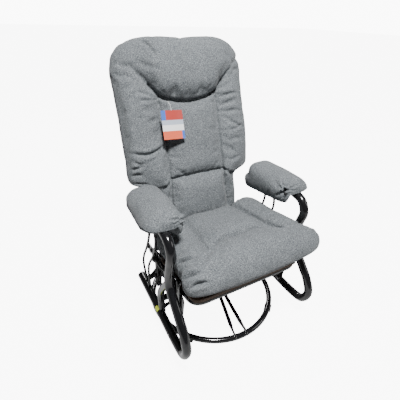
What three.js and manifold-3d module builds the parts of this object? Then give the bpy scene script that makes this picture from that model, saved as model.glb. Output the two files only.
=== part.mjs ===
// Swivel glider nursery chair: a floor ring on a swivel carries a fixed tube frame with arm pads.
// The seat hangs in that frame on four parallel links and glides; the back reclines on the seat.
// Millimetres, +Z up, the chair faces -Y, left is the sitter's left (+X).
import * as THREE from 'three';
import { mergeVertices } from 'three/addons/utils/BufferGeometryUtils.js';
import Module from 'manifold-3d';

const wasm = await Module();
wasm.setup();

// ---- Driving dimensions --------------------------------------------------------------------
const GAP = 0.3;                    // between pieces that touch
const PLATE = 5;                    // pressed steel plate
const RUNNING_GAP = 3.7;            // beside a plate that swings
const HINGE_GAP = 2.4;              // between the two plates of the recline hinge

const RING_RADIUS = 272;            // floor ring, to the tube's centre
const RING_TUBE = 24;
const PAD_BASE = 2;                 // floor pad under the ring
const PAD_SIZE = [36, 30, 9];
const PAD_ANGLES = [45, 135, 225, 315];
const BASE_TURN = -4;               // degrees that the base stands turned on its swivel
const STRUT_TUBE = 16;
const STRUT_FOOT_SPREAD = 26;       // half the distance between the feet of a pair
const STRUT_TOP_SPREAD = 5;
const HUB_RADIUS = 45;
const HUB_BOTTOM = 96;
const HUB_TOP = 131;
const BEARING_RADIUS = 75;
const BEARING_HEIGHT = 9;
const UPPER_PLATE = [220, 262, 6];

const FRAME_HALF = 284;             // centre line of each side frame
const LOOP_TUBE = 34;
const LOOP_LOW = 86;                // height of the lower side tube
const LOOP_REAR = 158;
const LOOP_FRONT = -308;
const WAIST = [-171, 336];          // where the loop is drawn in, y and z
const LOOP_BULGE = -192;
const ARM_HEIGHT = 538;             // tube inside the arm pad
const ARM_REAR = 84;
const FRONT_STRUT_TUBE = 28;
const CROSS_TUBE = 25;
const CROSS_FRONT = -67;
const CROSS_REAR = 121;
const ROD = 10;
const ROD_INSET = 8;                // rods stand this much inside the loop's centre line
const ROD_SPREAD = 33;              // half the distance between a pair at the pivot

// Reach to each side of the tube, ends, and how far the outer lower edge is tucked up.
const ARM_PAD = { inwards: 74, outwards: 60, front: -150, rear: 102, low: 488, high: 598, tuck: 26 };

const PIVOT_FRONT = [-170, 325];    // upper pivots of the links, y and z
const PIVOT_REAR = [38, 325];
const LINK_LENGTH = 190;
const LINK_WIDTH = 26;
const BOLT = 9.4;                   // bolt shank
const HOLE_CLEARANCE = 0.6;         // on the diameter
const BOLT_HEAD = 18;
const BOLT_HEAD_HEIGHT = 6;

const SEAT_TILT = THREE.MathUtils.degToRad(8.45);
const SEAT_HEIGHT = 249.7;          // seat tube's centre line above the origin
const SEAT_TUBE = 28;
const SEAT_TUBE_FRONT = -250;
const SEAT_TUBE_REAR = 114;
const SEAT_TUBE_BEND = 45;
const REAR_BAR = 22;
const BOARD = { front: -272, rear: 42, thickness: 12 };
const CUSHION = { front: -346, rear: 66, thickness: 173, overhang: 13, flare: 22 };
const BRAKE_HALF = 50;              // half the length of the brake arc on the glide plate
const BRAKE_GAP = 0.5;              // shoe to arc with the lever down

const BACK_TILT = THREE.MathUtils.degToRad(17);
const RECLINE_AXIS = [100, 275];    // y and z
const BACK_TUBE = 22;
const BACK_TUBE_TOP = 700;
const BACK_TUBE_SET = 30;           // behind the recline axis
const BACK = { low: 60, high: 826, half: 285, topHalf: 272, rear: -100 };
const BACK_CLEARANCE = 7;           // between the lower back and the arm pads

const LEVER_AXIS = [-120, 352];
const LEVER_ROD = 8;
const LEVER_CLEARANCE = 1.4;        // on the diameter
const KNOB_RADIUS = 14;
const SHOE_REACH = [32, -45];       // brake pin from the lever's axis, lever up

// ---- Materials -----------------------------------------------------------------------------
const paint = () => new THREE.MeshStandardMaterial({ color: 0x141516, roughness: 0.32, metalness: 0.4 });
const zinc = () => new THREE.MeshStandardMaterial({ color: 0xb9bcc0, roughness: 0.3, metalness: 1 });
const cloth = () => new THREE.MeshStandardMaterial({ color: 0x7d8084, roughness: 0.95, metalness: 0 });
const plastic = () => new THREE.MeshStandardMaterial({ color: 0x101011, roughness: 0.4, metalness: 0 });
const plywood = () => new THREE.MeshStandardMaterial({ color: 0x7a5534, roughness: 0.7, metalness: 0 });

// ---- Shape helpers -------------------------------------------------------------------------
const vector = ([x, y, z]) => new THREE.Vector3(x, y, z);

function add(parent, name, geometry, material) {
  const mesh = new THREE.Mesh(geometry, material);
  mesh.name = name;
  parent.add(mesh);
  return mesh;
}

// A welded solid for cutting and joining.
function solid(geometry) {
  const bare = geometry.clone();
  bare.deleteAttribute('normal');
  bare.deleteAttribute('uv');
  const merged = mergeVertices(bare, 1e-4);
  const vertProperties = new Float32Array(merged.attributes.position.array);
  const triVerts = new Uint32Array(merged.index.array);
  return new wasm.Manifold(new wasm.Mesh({ numProp: 3, vertProperties, triVerts }));
}

function geometryOf(manifold) {
  const { vertProperties, triVerts } = manifold.getMesh();
  const geometry = new THREE.BufferGeometry();
  geometry.setAttribute('position', new THREE.BufferAttribute(vertProperties, 3));
  geometry.setIndex(new THREE.BufferAttribute(triVerts, 1));
  geometry.computeVertexNormals();
  return geometry;
}

// The body with the space of the other pieces taken out of it.
function cut(geometry, ...others) {
  const left = others.reduce((body, other) => body.subtract(solid(other)), solid(geometry));
  return geometryOf(left);
}

// A round section of the given diameter, swept along a path.
function sweep(path, diameter, steps, sides) {
  const corners = Array.from({ length: sides }, (_, i) => {
    const angle = (2 * Math.PI * (i + 0.5)) / sides;
    return new THREE.Vector2(Math.cos(angle), Math.sin(angle)).multiplyScalar(diameter / 2);
  });
  return new THREE.ExtrudeGeometry(new THREE.Shape(corners), { steps, extrudePath: path });
}

function bentTube(points, diameter, steps = 24, sides = 10) {
  const path = new THREE.CatmullRomCurve3(points.map(vector), false, 'centripetal');
  return sweep(path, diameter, steps, sides);
}

function straightTube(from, to, diameter, sides = 10) {
  return sweep(new THREE.LineCurve3(vector(from), vector(to)), diameter, 1, sides);
}

// A closed outline with rounded corners; each corner is [u, v, radius].
function roundedOutline(corners) {
  const shape = new THREE.Shape();
  corners.forEach(([u, v, radius], i) => {
    const here = new THREE.Vector2(u, v);
    const before = new THREE.Vector2(...corners.at(i - 1).slice(0, 2));
    const after = new THREE.Vector2(...corners[(i + 1) % corners.length].slice(0, 2));
    const start = before.sub(here).setLength(radius).add(here);
    const end = after.sub(here).setLength(radius).add(here);
    if (i === 0) shape.moveTo(start.x, start.y);
    else shape.lineTo(start.x, start.y);
    shape.quadraticCurveTo(u, v, end.x, end.y);
  });
  shape.closePath();
  return shape;
}

// A round hole whose flats stand at the full diameter.
function hole(shape, [u, v], diameter, sides = 12) {
  const radius = diameter / 2 / Math.cos(Math.PI / sides);
  const ring = Array.from({ length: sides }, (_, i) => {
    const angle = (-2 * Math.PI * i) / sides;
    return new THREE.Vector2(u + radius * Math.cos(angle), v + radius * Math.sin(angle));
  });
  shape.holes.push(new THREE.Path(ring));
  return shape;
}

// Stands a flat outline drawn in (y, z) on edge, filling x from inner to outer on one side.
const STAND = new THREE.Matrix4().set(0, 0, 1, 0, 1, 0, 0, 0, 0, 1, 0, 0, 0, 0, 0, 1);
function sidePlate(shape, side, inner, outer) {
  const settings = { depth: outer - inner, bevelEnabled: false, curveSegments: 4 };
  const geometry = new THREE.ExtrudeGeometry(shape, settings).applyMatrix4(STAND);
  return geometry.translate(side > 0 ? inner : -outer, 0, 0);
}

// A turned piece along X: bands of [inner x, outer x, diameter], mirrored to the side.
function turned(side, [y, z], bands, sides = 10) {
  const profile = [new THREE.Vector2(0, bands[0][0])];
  bands.forEach(([from, to, diameter]) => {
    profile.push(new THREE.Vector2(diameter / 2, from), new THREE.Vector2(diameter / 2, to));
  });
  profile.push(new THREE.Vector2(0, bands.at(-1)[1]));
  const geometry = new THREE.LatheGeometry(profile, sides);
  return geometry.rotateZ(-side * Math.PI / 2).translate(0, y, z);
}

// A closed skin over rings of points, with a flat fan at each end, faces turned outwards.
function loft(rings) {
  const count = rings[0].length;
  const positions = rings.flat().flatMap((point) => point.toArray());
  const ends = [rings[0], rings.at(-1)].map((ring) =>
    ring.reduce((sum, point) => sum.add(point), new THREE.Vector3()).divideScalar(count));
  positions.push(...ends[0].toArray(), ...ends[1].toArray());
  const first = rings.length * count;
  const faces = [];
  for (let i = 0; i < rings.length - 1; i += 1) {
    for (let j = 0; j < count; j += 1) {
      const a = i * count + j;
      const b = i * count + ((j + 1) % count);
      faces.push(a, b, b + count, a, b + count, a + count);
    }
  }
  const last = (rings.length - 1) * count;
  for (let j = 0; j < count; j += 1) {
    const k = (j + 1) % count;
    faces.push(first, k, j, first + 1, last + j, last + k);
  }
  const geometry = new THREE.BufferGeometry();
  geometry.setAttribute('position', new THREE.Float32BufferAttribute(positions, 3));
  geometry.setIndex(faces);
  geometry.computeVertexNormals();
  return solid(geometry).volume() < 0 ? inverted(geometry) : geometry;
}

function inverted(geometry) {
  const faces = geometry.index.array;
  for (let i = 0; i < faces.length; i += 3) [faces[i], faces[i + 1]] = [faces[i + 1], faces[i]];
  geometry.computeVertexNormals();
  return geometry;
}

// Points of a superellipse: half sizes a and b, squareness n.
function superellipse(a, b, n, count) {
  return Array.from({ length: count }, (_, i) => {
    const angle = (2 * Math.PI * (i + 0.5)) / count;
    const power = (value) => Math.sign(value) * Math.abs(value) ** (2 / n);
    return [a * power(Math.cos(angle)), b * power(Math.sin(angle))];
  });
}

// ---- Places across the chair, from the side frame inwards ------------------------------------
const LOOP_INNER = FRAME_HALF - LOOP_TUBE / 2;
const FRONT_PLATE = [LOOP_INNER - GAP - PLATE, LOOP_INNER - GAP];
const ROD_X = FRAME_HALF - ROD_INSET;
const REAR_PLATE = [ROD_X - ROD / 2 - GAP - PLATE, ROD_X - ROD / 2 - GAP];
const LINK_X = [FRONT_PLATE[0] - RUNNING_GAP * 2 - PLATE, FRONT_PLATE[0] - RUNNING_GAP * 2];
const GLIDE_X = [LINK_X[0] - RUNNING_GAP - PLATE, LINK_X[0] - RUNNING_GAP];
const SEAT_TUBE_HALF = GLIDE_X[0] - GAP - SEAT_TUBE / 2;
const BOARD_HALF = SEAT_TUBE_HALF + 9;
const SEAT_HALF = LOOP_INNER - CUSHION.overhang;      // cushion, wider than the board above the links
const BRACKET_X = [SEAT_TUBE_HALF - SEAT_TUBE / 2 - GAP - PLATE, SEAT_TUBE_HALF - SEAT_TUBE / 2 - GAP];
const BACK_ARM_X = [BRACKET_X[0] - HINGE_GAP - PLATE, BRACKET_X[0] - HINGE_GAP];
const BACK_TUBE_HALF = BACK_ARM_X[0] - GAP - BACK_TUBE / 2;
const HOLE = BOLT + HOLE_CLEARANCE;
const RING_CENTRE = PAD_BASE + RING_TUBE / 2;

const chair = new THREE.Group();
const SIDES = [['left', 1], ['right', -1]];

// ---- Floor base ------------------------------------------------------------------------------
const ring = (clearance = 0) =>
  new THREE.TorusGeometry(RING_RADIUS, RING_TUBE / 2 + clearance, 10, 44).translate(0, 0, RING_CENTRE);

const hub = (clearance = 0) => {
  const radius = HUB_RADIUS + clearance;
  const height = HUB_TOP - HUB_BOTTOM + 2 * clearance;
  return new THREE.CylinderGeometry(radius, radius, height, 24)
    .rotateX(Math.PI / 2).translate(0, 0, (HUB_TOP + HUB_BOTTOM) / 2);
};

// A pair of tubes that meet at the hub, welded into one piece, drawn towards +X.
function strutPair() {
  const top = (HUB_TOP + HUB_BOTTOM) / 2;
  const tubes = [1, -1].map((way) => solid(straightTube(
    [RING_RADIUS, way * STRUT_FOOT_SPREAD, RING_CENTRE + 1],
    [HUB_RADIUS / 2, way * STRUT_TOP_SPREAD, top], STRUT_TUBE, 10)));
  return cut(geometryOf(tubes[0].add(tubes[1])), ring(GAP), hub(GAP));
}

function floorBase() {
  const base = new THREE.Group();
  base.rotation.z = THREE.MathUtils.degToRad(BASE_TURN);
  add(base, 'base_ring', ring(), paint());
  add(base, 'swivel_hub', hub(), paint());
  ['left', 'rear', 'right', 'front'].forEach((name, i) => {
    add(base, `base_strut_${name}`, strutPair(), paint()).rotation.z = (i * Math.PI) / 2;
  });
  PAD_ANGLES.forEach((angle, i) => {
    const block = new THREE.BoxGeometry(...PAD_SIZE).translate(0, 0, PAD_SIZE[2] / 2);
    const turn = THREE.MathUtils.degToRad(angle);
    block.rotateZ(turn + Math.PI / 2);
    block.translate(RING_RADIUS * Math.cos(turn), RING_RADIUS * Math.sin(turn), 0);
    add(base, `floor_pad_${i + 1}`, cut(block, ring(GAP)), plastic());
  });
  return base;
}

// ---- Swivel ----------------------------------------------------------------------------------
const BEARING_BOTTOM = HUB_TOP + GAP;
const BEARING_MIDDLE = BEARING_BOTTOM + BEARING_HEIGHT / 2 - GAP / 2;
const UPPER_PLATE_BOTTOM = BEARING_BOTTOM + BEARING_HEIGHT + GAP;
const CROSS_HEIGHT = UPPER_PLATE_BOTTOM + UPPER_PLATE[2] + GAP + CROSS_TUBE / 2;

function disc(radius, low, high) {
  return new THREE.CylinderGeometry(radius, radius, high - low, 24)
    .rotateX(Math.PI / 2).translate(0, 0, (low + high) / 2);
}

function swivel() {
  add(chair, 'swivel_lower_race', disc(BEARING_RADIUS, BEARING_BOTTOM, BEARING_MIDDLE), zinc());
  const upper = disc(BEARING_RADIUS, BEARING_MIDDLE + GAP, BEARING_BOTTOM + BEARING_HEIGHT);
  add(chair, 'swivel_upper_race', upper, zinc());
  const [width, length, height] = UPPER_PLATE;
  const plate = new THREE.BoxGeometry(width, length, height);
  plate.translate(0, (CROSS_FRONT + CROSS_REAR) / 2, UPPER_PLATE_BOTTOM + height / 2);
  add(chair, 'swivel_upper_plate', plate, paint());
}

// ---- Fixed side frames -----------------------------------------------------------------------
const loopTube = (side, clearance = 0) => bentTube([
  [LOOP_REAR, LOOP_LOW + 12],
  [LOOP_REAR - 130, LOOP_LOW + 8],
  [LOOP_FRONT + 70, LOOP_LOW - 2],
  [LOOP_FRONT + 24, LOOP_LOW + 10],
  [LOOP_FRONT, LOOP_LOW + 62],
  [LOOP_FRONT + 22, LOOP_LOW + 118],
  [(LOOP_FRONT + WAIST[0]) / 2, (LOOP_LOW + WAIST[1]) / 2 + 46],
  WAIST,
  [LOOP_BULGE + 10, (WAIST[1] + ARM_HEIGHT) / 2 - 6],
  [LOOP_BULGE, ARM_HEIGHT - 56],
  [LOOP_BULGE + 22, ARM_HEIGHT - 14],
  [LOOP_BULGE + 70, ARM_HEIGHT],
  [ARM_REAR, ARM_HEIGHT],
].map(([y, z]) => [side * FRAME_HALF, y, z]), LOOP_TUBE + 2 * clearance, 40);

const frontStrut = (side, clearance = 0) => bentTube([
  [WAIST[0] + 2, WAIST[1] + 6],
  [WAIST[0] + 46, WAIST[1] - 50],
  [CROSS_FRONT - 10, CROSS_HEIGHT + 48],
  [CROSS_FRONT, CROSS_HEIGHT],
  [CROSS_FRONT - 4, LOOP_LOW + 4],
].map(([y, z]) => [side * FRAME_HALF, y, z]), FRONT_STRUT_TUBE + 2 * clearance, 11);

const crossRear = () => bentTube([1, -1].flatMap((side) => {
  const half = [
    [FRAME_HALF, LOOP_LOW + 12],
    [FRAME_HALF - 36, LOOP_LOW + 16],
    [FRAME_HALF - 84, CROSS_HEIGHT - 14],
    [UPPER_PLATE[0] / 2, CROSS_HEIGHT],
  ].map(([x, z]) => [side * x, CROSS_REAR, z]);
  return side > 0 ? half : half.reverse();
}), CROSS_TUBE, 20);

// The outer rod of a pair bows out behind the inner one; both run up into the arm pad.
function rearRod(side, way, clearance = 0) {
  const [y, z] = PIVOT_REAR;
  const foot = LOOP_LOW + 10;
  const bow = way > 0 ? 62 : 0;
  return bentTube([
    [y - 20 + way * 22, ARM_HEIGHT],
    [y - 38 + way * 32, z + 100],
    [y + way * ROD_SPREAD, z],
    [y + 24 + bow, z - 92],
    [y + 36 + bow, z - 142],
    [y + 38 + way * 14, foot],
  ].map(([a, b]) => [side * ROD_X, a, b]), ROD + 2 * clearance, 13, 6);
}

function armPad(side) {
  const { inwards, outwards, front, rear, low, high, tuck } = ARM_PAD;
  const width = inwards + outwards;
  const round = 34;
  const [a, b] = [width / 2 - round, (high - low) / 2 - round];
  // The outer lower corner is tucked up under the tube.
  const [left, right] = side > 0 ? [0, tuck] : [tuck, 0];
  const section = roundedOutline([[-a, left - b, 2], [a, right - b, 2], [a, b, 2], [-a, b, 2]]);
  const settings = {
    depth: rear - front - 2 * round, curveSegments: 2,
    bevelThickness: round, bevelSize: round, bevelSegments: 3,
  };
  const pad = new THREE.ExtrudeGeometry(section, settings).rotateX(Math.PI / 2);
  pad.translate(side * (FRAME_HALF + (outwards - inwards) / 2), rear - round, (low + high) / 2);
  return cut(pad, loopTube(side, GAP), rearRod(side, 1, GAP), rearRod(side, -1, GAP));
}

function frontPivotPlate(side) {
  const [y, z] = PIVOT_FRONT;
  const shape = roundedOutline([
    [y - 22, z - 24, 12], [y + 26, z - 24, 12], [LEVER_AXIS[0] + 20, LEVER_AXIS[1] - 8, 10],
    [LEVER_AXIS[0] + 16, LEVER_AXIS[1] + 18, 14], [y - 18, z + 42, 12],
  ]);
  hole(shape, PIVOT_FRONT, HOLE);
  if (side < 0) hole(shape, LEVER_AXIS, LEVER_ROD + LEVER_CLEARANCE);
  return sidePlate(shape, side, ...FRONT_PLATE);
}

function rearPivotPlate(side) {
  const [y, z] = PIVOT_REAR;
  const reach = ROD_SPREAD + ROD;
  const shape = roundedOutline([
    [y - reach, z - 16, 10], [y + reach, z - 20, 10], [y + reach - 8, z + 18, 10],
    [y - reach, z + 20, 10],
  ]);
  return sidePlate(hole(shape, PIVOT_REAR, HOLE), side, ...REAR_PLATE);
}

// Head on the inner side, link, collar, plate; the rear bolts also show a nut outside.
function upperBolt(side, pivot, plate, nut) {
  const bands = [
    [LINK_X[0] - GAP - BOLT_HEAD_HEIGHT, LINK_X[0] - GAP, BOLT_HEAD],
    [LINK_X[0] - GAP, LINK_X[1] + GAP, BOLT],
    [LINK_X[1] + GAP, plate[0] - GAP, BOLT + 6],
    [plate[0] - GAP, plate[1] + (nut ? GAP : -GAP), BOLT],
  ];
  if (nut) bands.push([plate[1] + GAP, plate[1] + GAP + BOLT_HEAD_HEIGHT, BOLT_HEAD]);
  return turned(side, pivot, bands);
}

function fixedFrame() {
  const ends = straightTube([-FRAME_HALF, CROSS_FRONT, CROSS_HEIGHT], [FRAME_HALF, CROSS_FRONT, CROSS_HEIGHT],
    CROSS_TUBE);
  add(chair, 'cross_tube_front', cut(ends, frontStrut(1, GAP), frontStrut(-1, GAP)), paint());
  add(chair, 'cross_tube_rear', cut(crossRear(), loopTube(1, GAP), loopTube(-1, GAP)), paint());
  SIDES.forEach(([name, side]) => {
    add(chair, `side_loop_${name}`, loopTube(side), paint());
    add(chair, `front_strut_${name}`, cut(frontStrut(side), loopTube(side, GAP)), paint());
    add(chair, `rear_rod_outer_${name}`, cut(rearRod(side, 1), loopTube(side, GAP)), paint());
    add(chair, `rear_rod_inner_${name}`, cut(rearRod(side, -1), loopTube(side, GAP)), paint());
    add(chair, `front_pivot_plate_${name}`, frontPivotPlate(side), paint());
    add(chair, `rear_pivot_plate_${name}`, rearPivotPlate(side), paint());
    add(chair, `upper_bolt_front_${name}`, upperBolt(side, PIVOT_FRONT, FRONT_PLATE, false), zinc());
    add(chair, `upper_bolt_rear_${name}`, upperBolt(side, PIVOT_REAR, REAR_PLATE, true), zinc());
    add(chair, `arm_pad_${name}`, armPad(side), cloth());
  });
}

// ---- Glide links -----------------------------------------------------------------------------
const lowerPivot = ([y, z]) => [y, z - LINK_LENGTH];

function glideLinks() {
  SIDES.forEach(([name, side]) => {
    [['front', PIVOT_FRONT], ['rear', PIVOT_REAR]].forEach(([place, [y, z]]) => {
      const [half, low] = [LINK_WIDTH / 2, z - LINK_LENGTH];
      const shape = roundedOutline([
        [y - half, low - half, half], [y + half, low - half, half],
        [y + half, z + half, half], [y - half, z + half, half],
      ]);
      hole(hole(shape, [y, z], HOLE), [y, low], HOLE);
      add(chair, `glide_link_${place}_${name}`, sidePlate(shape, side, ...LINK_X), paint());
    });
  });
}

// ---- Seat frame ------------------------------------------------------------------------------
// Height of the seat tube's centre line at a place along the chair.
const seatLine = (y) => SEAT_HEIGHT - Math.tan(SEAT_TILT) * y;

// A plate with a leg at each end that drops to a lower pivot, and the brake arc on top. The arc's
// radius is the link length, so the lever's pin keeps its distance from it all through the glide.
function glidePlate(side) {
  const [front, rear] = [lowerPivot(PIVOT_FRONT), lowerPivot(PIVOT_REAR)];
  const lobe = LINK_WIDTH / 2 + 3;
  const under = (y) => seatLine(y) - SEAT_TUBE / 2 - 2;
  const above = (y) => seatLine(y) + SEAT_TUBE / 2 - 4;
  const brakeTop = LEVER_AXIS[1] - Math.hypot(...SHOE_REACH) - LEVER_ROD / 2 - BRAKE_GAP;
  const arc = [1, 0.75, 0.5, 0.25, 0, -0.25, -0.5, -0.75, -1].map((share) => {
    const along = share * BRAKE_HALF;
    return [LEVER_AXIS[0] + along, brakeTop - LINK_LENGTH + Math.sqrt(LINK_LENGTH ** 2 - along ** 2), 2];
  });
  const shape = roundedOutline([
    [front[0] - lobe, front[1] - lobe, lobe - 1], [front[0] + lobe, front[1] - lobe, lobe - 1],
    [front[0] + 30, under(front[0]) - 20, 20], [rear[0] - 30, under(rear[0]) - 20, 20],
    [rear[0] - lobe, rear[1] - lobe, lobe - 1], [rear[0] + lobe, rear[1] - lobe, lobe - 1],
    [rear[0] + 34, under(rear[0] + 34), 12], [rear[0] + 28, above(rear[0] + 28), 8],
    [LEVER_AXIS[0] + 62, above(LEVER_AXIS[0] + 62), 4], ...arc,
    [front[0] - 34, under(front[0] - 34), 12],
  ]);
  hole(hole(shape, front, HOLE), rear, HOLE);
  return sidePlate(shape, side, ...GLIDE_X);
}

function lowerBolt(side, pivot) {
  return turned(side, pivot, [
    [GLIDE_X[0] - GAP - BOLT_HEAD_HEIGHT, GLIDE_X[0] - GAP, BOLT_HEAD],
    [GLIDE_X[0] - GAP, GLIDE_X[1] + GAP, BOLT],
    [GLIDE_X[1] + GAP, LINK_X[0] - GAP, BOLT + 6],
    [LINK_X[0] - GAP, LINK_X[1] + GAP, BOLT],
    [LINK_X[1] + GAP, LINK_X[1] + GAP + BOLT_HEAD_HEIGHT, BOLT_HEAD],
  ]);
}

function seatTube(clearance = 0) {
  const half = SEAT_TUBE_HALF;
  const bend = SEAT_TUBE_BEND;
  const path = new THREE.CurvePath();
  const corner = (side) => new THREE.QuadraticBezierCurve3(
    ...[[side * half, SEAT_TUBE_FRONT + bend, 0], [side * half, SEAT_TUBE_FRONT, 0],
      [side * (half - bend), SEAT_TUBE_FRONT, 0]].map(vector));
  const first = corner(1);
  const second = corner(-1);
  [second.v0, second.v2] = [second.v2, second.v0];
  path.add(new THREE.LineCurve3(vector([half, SEAT_TUBE_REAR, 0]), first.v0));
  path.add(first);
  path.add(new THREE.LineCurve3(first.v2, second.v0));
  path.add(second);
  path.add(new THREE.LineCurve3(second.v2, vector([-half, SEAT_TUBE_REAR, 0])));
  return sweep(path, SEAT_TUBE + 2 * clearance, 28, 10);
}

// Squarer above its middle than below, so the underside stays clear of the link bolts.
function seatSection(half, low, high) {
  const middle = (low + high) / 2;
  const upper = superellipse(half, high - middle, 4.5, 24);
  const lower = superellipse(half, middle - low, 2.2, 24);
  return upper.map(([x, z], i) => (z > 0 ? [x, middle + z] : [lower[i][0], middle + lower[i][1]]));
}

function seatCushion() {
  const { front, rear, thickness, flare } = CUSHION;
  const low = SEAT_TUBE / 2 + BOARD.thickness + 2 * GAP;
  const high = low + thickness;
  // Place along the seat, half width, how far the underside rises and the top falls.
  const stations = [
    [rear, SEAT_HALF - 50, 30, 40], [rear - 6, SEAT_HALF - 24, 10, 16], [rear - 26, SEAT_HALF - 6, 1, 4],
    [0, SEAT_HALF, 0, 0], [front + 230, SEAT_HALF, 0, 3], [front + 84, SEAT_HALF, 2, 10],
    [front + 54, SEAT_HALF + flare * 0.7, 8, 19], [front + 30, SEAT_HALF + flare, 26, 34],
    [front + 9, SEAT_HALF + flare - 9, 50, 58], [front, SEAT_HALF + flare - 38, 70, 80],
  ];
  return loft(stations.map(([y, half, rise, fall]) =>
    seatSection(half, low + rise, high - fall).map(([x, z]) => new THREE.Vector3(x, y, z))));
}

function seatBoard() {
  const { front, rear, thickness } = BOARD;
  const half = BOARD_HALF;
  const shape = roundedOutline([[-half, front, 40], [half, front, 40], [half, rear, 20], [-half, rear, 20]]);
  const board = new THREE.ExtrudeGeometry(shape, { depth: thickness, bevelEnabled: false, curveSegments: 4 });
  return board.translate(0, 0, SEAT_TUBE / 2 + GAP);
}

// Recline axis in the tilted frame of the seat.
function reclineInSeat() {
  const [y, z] = [RECLINE_AXIS[0], RECLINE_AXIS[1] - SEAT_HEIGHT];
  const [c, s] = [Math.cos(SEAT_TILT), Math.sin(SEAT_TILT)];
  return [y * c - z * s, y * s + z * c];
}

function reclineBracket(side) {
  const [y, z] = reclineInSeat();
  const foot = -SEAT_TUBE / 2 + 4;
  const shape = roundedOutline([
    [y - 30, foot, 6], [y + 14, foot, 6], [y + 16, z + 16, 15], [y - 16, z + 16, 15],
  ]);
  return sidePlate(hole(shape, [y, z], HOLE), side, ...BRACKET_X);
}

function seatFrame() {
  SIDES.forEach(([name, side]) => {
    add(chair, `glide_plate_${name}`, glidePlate(side), paint());
    add(chair, `lower_bolt_front_${name}`, lowerBolt(side, lowerPivot(PIVOT_FRONT)), zinc());
    add(chair, `lower_bolt_rear_${name}`, lowerBolt(side, lowerPivot(PIVOT_REAR)), zinc());
  });
  const seat = new THREE.Group();
  seat.position.z = SEAT_HEIGHT;
  seat.rotation.x = -SEAT_TILT;
  add(seat, 'seat_tube', seatTube(), paint());
  const place = reclineInSeat()[0] - 30 - REAR_BAR;
  const bar = straightTube([-SEAT_TUBE_HALF, place, 0], [SEAT_TUBE_HALF, place, 0], REAR_BAR);
  add(seat, 'seat_rear_bar', cut(bar, seatTube(GAP)), paint());
  add(seat, 'seat_board', seatBoard(), plywood());
  add(seat, 'seat_cushion', seatCushion(), cloth());
  SIDES.forEach(([name, side]) => add(seat, `recline_bracket_${name}`, reclineBracket(side), paint()));
  chair.add(seat);
}

// ---- Back ------------------------------------------------------------------------------------
// Drawn upright about the recline axis, then tilted back.
function backTube(clearance = 0) {
  const [half, top, y] = [BACK_TUBE_HALF, BACK_TUBE_TOP, BACK_TUBE_SET];
  return bentTube([
    [half, y, 20], [half, y, top / 2], [half, y, top - 90], [half - 24, y, top - 24], [half - 90, y, top],
    [90 - half, y, top], [24 - half, y, top - 24], [-half, y, top - 90], [-half, y, top / 2], [-half, y, 20],
  ], BACK_TUBE + 2 * clearance, 26, 8);
}

function backCushion() {
  const { low, high, half, topHalf, rear } = BACK;
  const waist = FRAME_HALF - ARM_PAD.inwards - BACK_CLEARANCE;
  // Height, half width, front face, how far the rear face comes forward.
  const stations = [
    [low, waist - 24, 8, 34], [low + 8, waist - 8, 26, 12], [low + 50, waist - 1, 40, 2],
    [low + 110, waist, 48, 0], [low + 208, waist, 45, 0],
    [low + 220, half - 6, 42, 0], [low + 270, half + 2, 42, 0], [low + 380, half - 2, 38, 0],
    [low + 540, (half + topHalf) / 2, 28, 0],
    [low + 580, topHalf + 2, 34, 0], [low + 650, topHalf, 56, 0], [low + 705, topHalf - 18, 48, 4],
    [low + 740, topHalf - 52, 32, 12], [high - 8, topHalf - 96, 6, 28], [high, topHalf - 134, -14, 46],
  ];
  const cushion = loft(stations.map(([z, width, front, lift]) => {
    const back = rear + lift;
    return superellipse(width, (front - back) / 2, 3, 24)
      .map(([x, n]) => new THREE.Vector3(x, n - (front + back) / 2, z));
  }));
  return cut(cushion, backTube(GAP));
}

function backArm(side) {
  const set = -BACK_TUBE_SET;
  const shape = roundedOutline([
    [-16, -16, 15], [16, -16, 15], [14 - set, 24, 10], [12 - set, BACK.low + 2, 8],
    [-10 - set, BACK.low + 2, 8], [-14, 26, 10],
  ]);
  return sidePlate(hole(shape, [0, 0], HOLE), side, ...BACK_ARM_X);
}

function reclineBolt(side) {
  return turned(side, [0, 0], [
    [BACK_ARM_X[0] - GAP - BOLT_HEAD_HEIGHT, BACK_ARM_X[0] - GAP, BOLT_HEAD],
    [BACK_ARM_X[0] - GAP, BRACKET_X[1] + GAP, BOLT],
    [BRACKET_X[1] + GAP, BRACKET_X[1] + GAP + BOLT_HEAD_HEIGHT, BOLT_HEAD],
  ]);
}

function backFrame() {
  const back = new THREE.Group();
  back.position.set(0, ...RECLINE_AXIS);
  back.rotation.x = -BACK_TILT;
  add(back, 'back_tube', backTube(), paint());
  add(back, 'back_cushion', backCushion(), cloth());
  SIDES.forEach(([name, side]) => {
    add(back, `back_arm_${name}`, backArm(side), paint());
    add(back, `recline_bolt_${name}`, reclineBolt(side), zinc());
  });
  chair.add(back);
}

// ---- Glide brake lever, on the right side ----------------------------------------------------
const SHOE_X = [FRONT_PLATE[0] - GAP - PLATE, FRONT_PLATE[0] - GAP];

// Through the pivot plate, then out and back to the knob.
function leverRod(clearance = 0) {
  const [y, z] = LEVER_AXIS;
  const out = FRAME_HALF + 4;
  return bentTube([
    [SHOE_X[0], y, z], [FRONT_PLATE[0], y, z], [FRONT_PLATE[1] + 5, y, z], [out - 8, y + 6, z + 2], [out, y + 24, z + 7],
    [out + 2, y + 50, z + 15],
  ].map(([a, b, c]) => [-a, b, c]), LEVER_ROD + 2 * clearance, 20, 8);
}

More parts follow.
